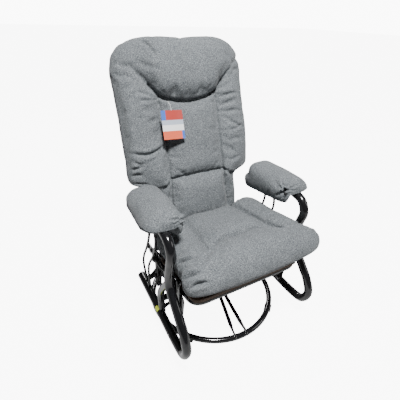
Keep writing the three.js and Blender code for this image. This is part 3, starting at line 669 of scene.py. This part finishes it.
def swelled(piece, hold, reach, spare, pressure=4.0, frames=20):
    """Cloth cut larger by the spare share and blown up. hold gives 0 to 1 for each point, and no point
    moves further than about its reach."""
    start = points_of(piece)
    held = hold(start)
    group = piece.vertex_groups.new(name="held")
    for index in np.nonzero(held > 0.03)[0]:
        group.add([int(index)], float(held[index]), "REPLACE")
    modifier = piece.modifiers.new("cloth", "CLOTH")
    settings = modifier.settings
    settings.quality, settings.mass = 5, 0.3
    settings.tension_stiffness, settings.compression_stiffness = 12, 8
    settings.shear_stiffness, settings.bending_stiffness = 4, 0.6
    settings.shrink_min = -spare
    settings.use_pressure, settings.uniform_pressure_force = True, pressure
    settings.effector_weights.gravity = 0
    settings.vertex_group_mass = "held"
    modifier.point_cache.frame_start, modifier.point_cache.frame_end = 1, frames
    for number in range(1, frames + 1):
        bpy.context.scene.frame_set(number)
    shown = piece.evaluated_get(bpy.context.evaluated_depsgraph_get())
    move = points_of(shown) - start
    piece.modifiers.clear()
    piece.vertex_groups.clear()
    bpy.context.scene.frame_set(1)
    length = np.linalg.norm(move, axis=1) + 1e-9
    limit = reach(start) if callable(reach) else reach
    set_points(piece, start + move * (limit * np.tanh(length / limit) / length)[:, None])
    print(piece.name, "moved up to", round(float(length.max()) * 1000, 1), "mm")


def sewn(piece, voxel, hold, reach, spare):
    """Even faces, then the cloth run, then each face divided once."""
    remeshed(piece, voxel)
    swelled(piece, hold, reach, spare)
    modifier = piece.modifiers.new("fine", "SUBSURF")
    modifier.levels = modifier.render_levels = 1
    baked(piece)


def on_surface(points, facing, line, flat_axes, step=0.002):
    """A line drawn in two axes, or in all three, stepped evenly and laid on the nearest points."""
    line = np.asarray(line, float) / 1000
    axes = flat_axes if line.shape[1] == 2 else [0, 1, 2]
    run = np.concatenate([[0], np.cumsum(np.linalg.norm(np.diff(line, axis=0), axis=1))])
    at = np.linspace(0, run[-1], max(int(run[-1] / step), 6))
    plan = np.column_stack([np.interp(at, run, column) for column in line.T])
    seen = points[facing]
    nearest = [np.argmin(((seen[:, axes] - place) ** 2).sum(1)) for place in plan]
    laid = seen[nearest]
    kernel = np.ones(5) / 5
    for axis in range(3):
        column = np.pad(laid[:, axis], 2, mode="edge")
        laid[:, axis] = np.convolve(column, kernel, "valid")
    return laid


def along_line(points, laid, within):
    """For the points near the line: their index, distance to it, and share of the way along it."""
    low, high = laid.min(0) - within, laid.max(0) + within
    near = np.nonzero(((points > low) & (points < high)).all(1))[0]
    distance = np.linalg.norm(points[near, None, :] - laid[None, :, :], axis=2)
    nearest = distance.argmin(1)
    return near, distance[np.arange(len(near)), nearest], nearest / (len(laid) - 1)


def creased(piece, seams, folds, flat_axes, facing):
    """Seams are (line, depth, width, gathers); folds are (line, depth, width) and fade out at both ends.
    Depth falls off as exp(-(d/w)^2) with a low shoulder on each side. Gathers are small waves along a
    seam, exp(-d/25 mm) high. Sizes are in millimetres."""
    points, normals = points_of(piece), normals_of(piece)
    seen = facing(points, normals)
    push = np.zeros(len(points))
    for line, depth, width, gathers in seams:
        laid = on_surface(points, seen, line, flat_axes)
        near, d, t = along_line(points, laid, 0.06)
        d = d * 1000
        ends = ease(np.minimum(t, 1 - t), -0.01, 0.06)
        push[near] -= depth * np.exp(-(d / width) ** 2) * (0.55 + 0.45 * ends)
        push[near] += 0.16 * depth * np.exp(-((d - 2.6 * width) / (1.6 * width)) ** 2) * ends
        length = len(laid) * 2.0
        wave = np.sin(2 * np.pi * length * t / 17 + 2.2 * np.sin(length * t / 31) + len(line))
        wave = wave * (0.6 + 0.4 * np.sin(length * t / 47 + width))
        push[near] += gathers * wave * np.exp(-d / 20) * ease(d, 0, 7) * ends
    for line, depth, width in folds:
        laid = on_surface(points, seen, line, flat_axes)
        near, d, t = along_line(points, laid, 0.05)
        d = d * 1000
        taper = np.sin(np.pi * np.clip(t, 0.02, 0.98)) ** 0.8
        push[near] -= depth * np.exp(-(d / (width * (0.5 + 0.5 * taper))) ** 2) * taper
        push[near] += 0.4 * depth * np.exp(-((d - 2.1 * width) / (1.3 * width)) ** 2) * taper
    set_points(piece, points + normals * push[:, None] / 1000)


def to_frame(piece, place):
    """Moves a soft piece's mesh from its own axes, in metres, to the frame."""
    set_points(piece, place(points_of(piece) * 1000))


# %% [markdown]
# ## Seat cushion
# A thick cushion with a level centre, a bolster down each side and a roll along the front. It is drawn
# in the seat's own axes: x across, y along the tilted seat, z off the seat tube.

# %% Seat cushion
# Place along the seat, half width, rise of the underside, fall of the top.
SEAT_ROWS = [[64, 204, 30, 38], [58, 234, 10, 16], [40, 249, 2, 6], [0, 252, 0, 3], [-116, 252, 0, 3],
             [-240, 254, 2, 3], [-262, 262, 6, 4], [-284, 272, 18, 7], [-306, 277, 33, 15],
             [-325, 266, 50, 32], [-337, 244, 66, 52], [-343, 220, 78, 68], [-346, 196, 86, 82]]
SEAT_LOW, SEAT_HIGH = 27.2, 200.0
FRONT_ROLL = [[-151, -232], [-134, -222], [-107, -201], [-60, -188], [0, -182], [60, -188], [107, -201],
              [134, -222], [151, -232]]
SEAT_LINE = [(122, 58), (127, 30), (128, -53), (136, -130), (142, -190), (151, -232)]
SEAT_LINES = [[[side * x, y] for x, y in SEAT_LINE] for side in (-1, 1)]
SEAT_FOLDS = [
    ([[-268, -222, 130], [-250, -228, 166], [-216, -246, 186]], 24, 7),
    ([[-278, -286, 130], [-262, -298, 166], [-226, -314, 180]], 24, 7),
    ([[-266, -318, 134], [-248, -328, 147], [-214, -338, 150]], 14, 6),
    ([[-208, -292], [-176, -262], [-152, -236]], 6, 8),
    ([[256, -236, 150], [240, -236, 168], [226, -246, 178]], 7, 5),
    ([[268, -306, 150], [256, -308, 168], [240, -318, 172]], 8, 5),
    ([[206, -290], [178, -262], [152, -236]], 5, 8),
    ([[-151, -232], [-160, -262], [-164, -290]], 4, 8), ([[151, -232], [160, -262], [166, -290]], 4, 8),
    ([[-222, -60], [-190, -66], [-158, -60]], 3, 8), ([[225, 20], [196, 8], [165, 12]], 3, 7),
    ([[230, -120], [200, -128], [170, -122]], 3, 8), ([[-70, 50], [-20, 40], [40, 46]], 2.5, 10)]


def seam_distance(x, y, lines):
    """Distance in the plane from each (x, y) to the nearest of some bent lines."""
    best = np.full(np.shape(x), 1e9)
    for line in lines:
        for (ax, ay), (bx, by) in zip(line[:-1], line[1:]):
            dx, dy = bx - ax, by - ay
            t = np.clip(((x - ax) * dx + (y - ay) * dy) / (dx * dx + dy * dy), 0, 1)
            best = np.minimum(best, np.hypot(x - ax - t * dx, y - ay - t * dy))
    return best


def seat_relief(x, y):
    """Bolsters and front roll stand about 20 mm over the centre, and each seam lies in a soft valley."""
    roll = np.interp(np.abs(x), [0, 60, 107, 134, 151], [-182, -188, -201, -222, -232])
    edge = np.interp(y, [-232, -190, -130, -53, 30, 58], [151, 142, 136, 128, 127, 122])
    centre = ease(edge - np.abs(x), 0, 26) * ease(y - roll, 0, 26)
    crown = 7 * np.clip(1 - (x / 130) ** 2, 0, 1)
    valley = seam_distance(x, y, [FRONT_ROLL, *SEAT_LINES])
    side = 6 * ease(np.abs(x), 150, 200) * ease(y, -250, -200)
    return side + centre * (crown - 20) - 20 * np.exp(-(valley / 15) ** 2) + 6 * ease(-y, 230, 300)


def seat_form():
    at = np.linspace(64, -346, 120)
    order = np.sort(at)
    half, rise, fall = (column[::-1] for column in table(SEAT_ROWS, order))
    rings = []
    for y, a, lift, drop in zip(at, half, rise, fall):
        low, high = SEAT_LOW + lift, SEAT_HIGH - drop
        middle = (low + high) / 2
        x, up = superellipse(a, high - middle, 5.6 - 1.2 * ease(-y, 240, 300), 128)
        x_low, down = superellipse(a, middle - low, 3.6 - 1.2 * ease(-y, 250, 300), 128)
        narrow = 233 + (a - 233) * np.maximum(ease(middle + down, 62, 100), ease(-y, 225, 250))
        x_low = np.clip(x_low, -narrow, narrow)
        top = middle + up + seat_relief(x, np.full_like(x, y)) * ease(up / (high - middle), 0.55, 0.98)
        across, height = np.where(up > 0, x, x_low), np.where(up > 0, top, middle + down)
        rings.append(np.stack([across, np.full_like(x, y), height], axis=-1))
    return skin("seat_pad", np.array(rings) / 1000)


def seat_hold(points):
    """Held at the seams and where the cushion lies on the board."""
    x, y, z = points.T * 1000
    valley = seam_distance(x, y, [FRONT_ROLL, *SEAT_LINES])
    seams = np.exp(-(valley / 9) ** 2) * (z > 120)
    return np.maximum(seams, 1.0 * (z < 34))


def seat_reach(points):
    """13 mm of swelling on top, and 3 mm low at the sides, by the hinges."""
    x, y, z = points.T * 1000
    return 0.003 + 0.010 * ease(z, 78, 140) * (1 - 0.5 * ease(np.abs(x), 235, 250) * ease(y, -260, -230))


def top_facing(points, normals):
    return (normals[:, 2] > -0.1) & (points[:, 2] > 0.06)


seat_pad = seat_form()
sewn(seat_pad, 0.006, seat_hold, seat_reach, 0.04)
seat_seams = [(FRONT_ROLL, 12, 15, 0.5), *((line, 8, 20, 0.5) for line in SEAT_LINES)]
seat_seams += [(line, 10, 5.5, 1.0) for line in [FRONT_ROLL, *SEAT_LINES]]
creased(seat_pad, seat_seams, SEAT_FOLDS, [0, 1], top_facing)
to_frame(seat_pad, seat_place)
finish_piece(seat_pad, "seat_frame", "fabric", FABRIC, "seat_cushion")

# %% [markdown]
# ## Back cushion
# The back is one tall cushion. A head pillow hangs over a curved crease, two upright seams part the
# centre from the side wings, and a cross seam parts it from the lumbar roll. The lower part is narrow,
# to pass between the arm pads. It is drawn as x across, -n forward and s up from the recline axis.

# %% Back cushion
# Height s, half width, front n, rear n.
BACK_ROWS = [[62, 178, -4, -60], [68, 192, 10, -86], [100, 201, 24, -95], [170, 202, 35, -97],
             [250, 202, 36, -97], [262, 220, 36, -97], [272, 262, 35, -97], [286, 283, 35, -97],
             [312, 292, 34, -97], [340, 294, 33, -97], [440, 294, 30, -97], [600, 292, 20, -97],
             [640, 291, 20, -97], [710, 288, 22, -97], [765, 271, 15, -91], [800, 241, 2, -80],
             [816, 200, -10, -70], [824, 155, -20, -62]]
CREASE_AT = [[0, 583], [44, 587], [86, 595], [122, 611], [143, 636], [158, 654]]
PILLOW_CREASE = [[-x, s] for x, s in CREASE_AT[:0:-1]] + CREASE_AT
LUMBAR_SEAM = [[-125, 284], [-60, 287], [0, 289], [60, 288], [125, 284]]
WING_SEAMS = [[[-128, 606], [-125, 540], [-124, 400], [-125, 284], [-132, 200], [-142, 110]],
              [[128, 606], [127, 540], [126, 400], [125, 284], [132, 200], [142, 110]]]
BACK_FOLDS = [
    ([[-150, 645], [-176, 668], [-196, 692]], 5, 9), ([[150, 645], [176, 668], [200, 696]], 6, 8),
    ([[-183, 803], [-165, 800], [-150, 786], [-138, 760], [-136, 740]], 9, 7),
    ([[-205, 735], [-171, 718], [-146, 709], [-118, 701]], 4, 10),
    ([[-218, 634], [-176, 620], [-136, 605]], 7, 7), ([[-214, 600], [-172, 598], [-134, 596]], 5, 7),
    ([[-276, 414], [-251, 406], [-220, 399], [-192, 402], [-161, 412], [-132, 424]], 10, 7),
    ([[-276, 346], [-252, 353], [-226, 357]], 8, 6), ([[-280, 320], [-258, 326], [-236, 324]], 5, 6),
    ([[-278, 292], [-256, 288], [-220, 284]], 6, 6), ([[-266, 378], [-247, 366], [-224, 368]], 6, 6),
    ([[-262, 640], [-240, 650], [-214, 668]], 3, 9), ([[-150, 520], [-176, 524], [-206, 516]], 3, 9),
    ([[112, 612], [146, 622], [190, 628]], 6, 7), ([[140, 586], [182, 594], [232, 596]], 7, 6),
    ([[134, 548], [178, 562], [226, 570]], 4, 8), ([[150, 524], [201, 526], [246, 520]], 5, 7),
    ([[165, 488], [206, 468], [250, 447]], 6, 7), ([[170, 446], [206, 452], [240, 462]], 5, 6),
    ([[150, 400], [190, 410], [240, 402]], 4, 8), ([[130, 330], [165, 320], [215, 330]], 5, 8),
    ([[112, 292], [144, 268], [176, 246]], 6, 8), ([[206, 700], [226, 690], [250, 692]], 4, 8),
    ([[-112, 290], [-140, 266], [-170, 248]], 5, 8), ([[140, 760], [170, 745], [205, 742]], 2.5, 12),
    ([[-90, 120], [-30, 112], [40, 118]], 2, 10)]


def crease_height(x):
    """Height of the pillow's crease, carried on level past its ends."""
    places, heights = np.array([*CREASE_AT, [195, 690]], float).T
    return np.interp(np.abs(x), places, heights)


def back_relief(x, s):
    """The pillow stands 31 mm proud above its crease, the wings 11 mm and the lumbar roll 9 mm."""
    above = s - crease_height(x)
    soften = np.interp(np.abs(x), [0, 120, 180, 290], [26, 28, 55, 120])
    pillow = 31 * (1 - np.exp(-np.clip(above, 0, None) / soften)) * (above > 0)
    wing_line = np.interp(s, [110, 200, 284, 400, 540, 606], [142, 132, 125, 125, 126, 128])
    outward = np.abs(x) - wing_line
    wings = 11 * ease(outward, 0, 34) * (1 - ease(above, -30, 60))
    lumbar = 9 * ease(287 - s, 0, 34) * ease(-outward, -6, 30)
    crown = 5 * np.clip(1 - (x / 125) ** 2, 0, 1) * (above < 0) * (s > 287)
    valley = seam_distance(x, s, [PILLOW_CREASE, LUMBAR_SEAM, *WING_SEAMS])
    return pillow + wings + lumbar + crown - 15 * np.exp(-(valley / 14) ** 2)


def back_form():
    at = np.linspace(62, 824, 190)
    half, front, rear = table(BACK_ROWS, at, 1.6)
    rings = []
    for s, a, near, far in zip(at, half, front, rear):
        x, n = superellipse(a, (near - far) / 2, 2.8, 144)
        share = ease(n / ((near - far) / 2), 0.25, 0.95)
        n = n + (near + far) / 2 + back_relief(x, np.full_like(x, s)) * share * ease(s, 62, 110)
        rings.append(np.stack([x, -n, np.full_like(x, s)], axis=-1))
    return skin("back_pad", np.array(rings) / 1000)


def back_hold(points):
    """Held at every seam of the front."""
    x, n, s = points[:, 0] * 1000, -points[:, 1] * 1000, points[:, 2] * 1000
    valley = seam_distance(x, s, [PILLOW_CREASE, LUMBAR_SEAM, *WING_SEAMS])
    return np.exp(-(valley / 7) ** 2) * (n > -30)


def back_reach(points):
    """12 mm of swelling, and 3 mm beside and just above the arm pads and along the rear."""
    x, n, s = np.abs(points[:, 0]) * 1000, -points[:, 1] * 1000, points[:, 2] * 1000
    beside = ease(x, 150, 190) * (1 - ease(s, 262, 330))
    behind = 1 - ease(n, -90, -50) * ease(s, 60, 150)
    return 0.012 - 0.009 * np.maximum(beside, behind)


def front_facing(points, normals):
    return (normals[:, 1] < 0.15) & (points[:, 1] < 0.04)


back_pad = back_form()
sewn(back_pad, 0.007, back_hold, back_reach, 0.04)
back_seams = [(PILLOW_CREASE, 13, 6, 0.4), (LUMBAR_SEAM, 7, 4.5, 1.1)]
back_seams += [(line, 8, 4.5, 0.9) for line in WING_SEAMS]
creased(back_pad, back_seams, BACK_FOLDS, [0, 2], front_facing)


def back_axes(points):
    """From (x, -n, s) to the frame."""
    return back_place(np.stack([points[:, 0], points[:, 2], -points[:, 1]], axis=-1))


to_frame(back_pad, back_axes)
finish_piece(back_pad, "back_frame", "fabric", FABRIC, "back_cushion")

# %% [markdown]
# ## Arm pads
# Each pad is a bag round the loop's top tube. Its front is drawn together at the inner corner, where
# folds run out from one gathered point, and its outer lower edge is tucked under the tube.

# %% Arm pads
# Place along the chair, share of the full section.
PAD_ROWS = [[98, 0.66], [94, 0.84], [84, 0.96], [62, 1.0], [0, 1.02], [-70, 1.0], [-112, 0.98], [-132, 0.9],
            [-142, 0.78], [-147, 0.6]]
GATHER = (214, -136, 570)
# Ends of the folds from the gathered point: outward, rearward and up.
PAD_FOLDS = [((54, 18, 26), 8, 4), ((12, 36, 20), 8, 4), ((32, 26, 28), 6, 4), ((76, -8, 14), 5, 4),
             ((-6, 34, 6), 6, 4), ((44, -10, -2), 6, 3.5), ((0, 22, -42), 8, 5), ((-4, 40, -48), 7, 5),
             ((6, 8, -58), 7, 5)]


def pad_form(name, side):
    at = np.linspace(98, -147, 90)
    share = table(PAD_ROWS, np.sort(at), 1.5)[0][::-1]
    rings = []
    for y, grow in zip(at, share):
        u, v = superellipse(67 * grow, 52 * grow, 3.1, 96)
        outer = ease(u, 10, 55) * ease(-v, 5, 40)
        hang = (14 + 0.14 * y) * ease(-u, 12, 46) * ease(-v, 5, 40)
        back = 24 * ease(-v, -2, 18) * ease(y, 20, 98)
        v = v + 24 * outer - hang - 5 * ease(u, 20, 58) * ease(v, 10, 40)
        rings.append(np.stack([side * (277 + u), y + back, 544 + v], axis=-1))
    return skin(name, millimetres(np.array(rings)))


def pad_hold(side):
    """Held round the gathered corner and under the tube."""
    def hold(points):
        corner = millimetres([side * GATHER[0], GATHER[1], GATHER[2]])
        near = np.exp(-(np.linalg.norm(points - corner, axis=1) / 0.012) ** 2)
        return np.maximum(near, 1.0 * (points[:, 2] < 0.482 - 0.14 * points[:, 1]))
    return hold


def pad_creased(piece, side):
    """Draws the corner in by 14 mm and lays folds that run out from it."""
    points, normals = points_of(piece), normals_of(piece)
    corner = millimetres([side * GATHER[0], GATHER[1], GATHER[2]])
    start = points[np.argmin(np.linalg.norm(points - corner, axis=1))].copy()
    push = -14 * np.exp(-(np.linalg.norm(points - start, axis=1) / 0.018) ** 2)
    for (out, rearward, up), depth, width in PAD_FOLDS:
        end = start + np.array([side * out, rearward, up]) / 1000
        line = [start + (end - start) * t for t in np.linspace(0, 1, 30)]
        laid = np.array([points[np.argmin(((points - place) ** 2).sum(1))] for place in line])
        near, d, t = along_line(points, laid, 0.04)
        d = d * 1000
        taper = ease(1 - t, 0, 0.8)
        push[near] -= depth * np.exp(-(d / (width * (0.6 + 0.6 * t))) ** 2) * taper
        push[near] += 0.45 * depth * np.exp(-((d - 2 * width) / (1.3 * width)) ** 2) * taper
    points = points + normals * push[:, None] / 1000
    # The front ends over the tube's bend: its lower part is drawn up to 560 mm, outward of the inner flap.
    out = side * points[:, 0] * 1000 - GATHER[0]
    flap = out - 0.3 * (0.566 - points[:, 2]) * 1000
    front = ease((RING_Y - points[:, 1]) * 1000, 80, 116) * ease(flap, 2, 16)
    level = 0.560 - 0.006 * np.sin(np.clip(out / 120, 0, 1) * np.pi)
    lower = np.clip(level - points[:, 2], 0, None)
    points[:, 2] += lower * 0.86 * front
    set_points(piece, points)


for name, side in SIDES:
    pad = pad_form(f"arm_bag_{name}", side)
    sewn(pad, 0.0045, pad_hold(side), 0.007, 0.05)
    pad_creased(pad, side)
    finish_piece(pad, "outer_frame", "fabric", FABRIC, f"arm_pad_{name}")

# %% [markdown]
# ## Hang tag and sticker
# A card tag with plain colour bands hangs on a thin loop under the pillow, at the sitter's right. A plain
# yellow-green oval sits on the right lower tube.

# %% Hang tag and sticker
TAG_CORNERS = [(-142, 556), (-55, 551), (-57, 443), (-146, 448)]


def tag_card():
    """A card 88 mm by 108 mm and 0.7 mm thick, bowed a little."""
    across, down = np.meshgrid(np.linspace(0, 1, 17), np.linspace(0, 1, 25), indexing="ij")
    corners = np.array(TAG_CORNERS, float)
    shares = [(1 - across) * (1 - down), across * (1 - down), across * down, (1 - across) * down]
    plan = sum(share[..., None] * corner for share, corner in zip(shares, corners))
    n = 56 + 7 * down + 4 * np.sin(np.pi * across)
    front = np.concatenate([plan, n[..., None]], axis=-1)
    rear = front - [0, 0, 0.7]
    grid = np.concatenate([front, rear[::-1]], axis=0)
    count = 25
    faces = []
    for i in range(33):
        faces += [[i * count + j, (i + 1) * count + j, (i + 1) * count + j + 1, i * count + j + 1]
                  for j in range(count - 1)]
    faces += [[33 * count + j, j, j + 1, 33 * count + j + 1] for j in range(count - 1)]
    for i in range(16):
        for j in (0, count - 1):
            faces.append([i * count + j, (i + 1) * count + j, (32 - i) * count + j, (33 - i) * count + j])
    return make_mesh("hang_tag", back_place(grid.reshape(-1, 3)), faces, smooth=False)


def colour_tag(piece):
    """Bands down the card: red, pale grey, white and orange-red, with a blue stripe at two corners."""
    for name, colour in [("tag_red", (0.42, 0.05, 0.04)), ("tag_grey", (0.42, 0.47, 0.55)),
                         ("tag_white", (0.85, 0.85, 0.85)), ("tag_orange", (0.72, 0.13, 0.06)),
                         ("tag_blue", (0.05, 0.14, 0.5))]:
        piece.data.materials.append(flat_material(name, colour, 0.35))
    for face in piece.data.polygons:
        column, row = face.index // 24, face.index % 24
        if face.index >= 33 * 24:
            continue
        column = column if column < 16 else 32 - column
        share = row / 24
        band = 0 if share < 0.3 else 1 if share < 0.5 else 2 if share < 0.7 else 3
        if (share < 0.3 and column < 3) or (share >= 0.7 and column > 13):
            band = 4
        face.material_index = band


tag = tag_card()
colour_tag(tag)
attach(tag, "back_frame")
LOOP_TIE = [[-101, 588, 30], [-104, 584, 52], [-101, 566, 60], [-99, 549, 58], [-98, 548, 54],
            [-97, 566, 50]]
tie = tube("tag_tie", back_place(LOOP_TIE), 0.0012, 60, 8)
tie.data.materials.append(flat_material("tie_white", (0.8, 0.8, 0.8), 0.5))
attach(tie, "back_frame")


def oval_sticker():
    """An oval 26 mm by 20 mm laid round a 34 mm tube, facing out, forward and up."""
    rows = []
    for radius, lift in [(0.05, 0.5), (0.5, 0.5), (0.92, 0.5), (1.0, 0.25), (1.0, 0.05)]:
        for angle in np.linspace(0, 2 * np.pi, 40, endpoint=False):
            y = -60 + 13 * radius * math.cos(angle)
            turn = math.radians(46) + 10 * radius * math.sin(angle) / 17
            centre = 94 + (y - 28) * 10 / 266
            reach = 17 + lift
            rows.append([-284 - reach * math.cos(turn), y, centre + reach * math.sin(turn)])
    return skin("oval_sticker", millimetres(np.array(rows)).reshape(5, 40, 3))


STICKER = flat_material("sticker_green", (0.62, 0.72, 0.06), 0.3)
finish_piece(oval_sticker(), "outer_frame", "sticker", STICKER)
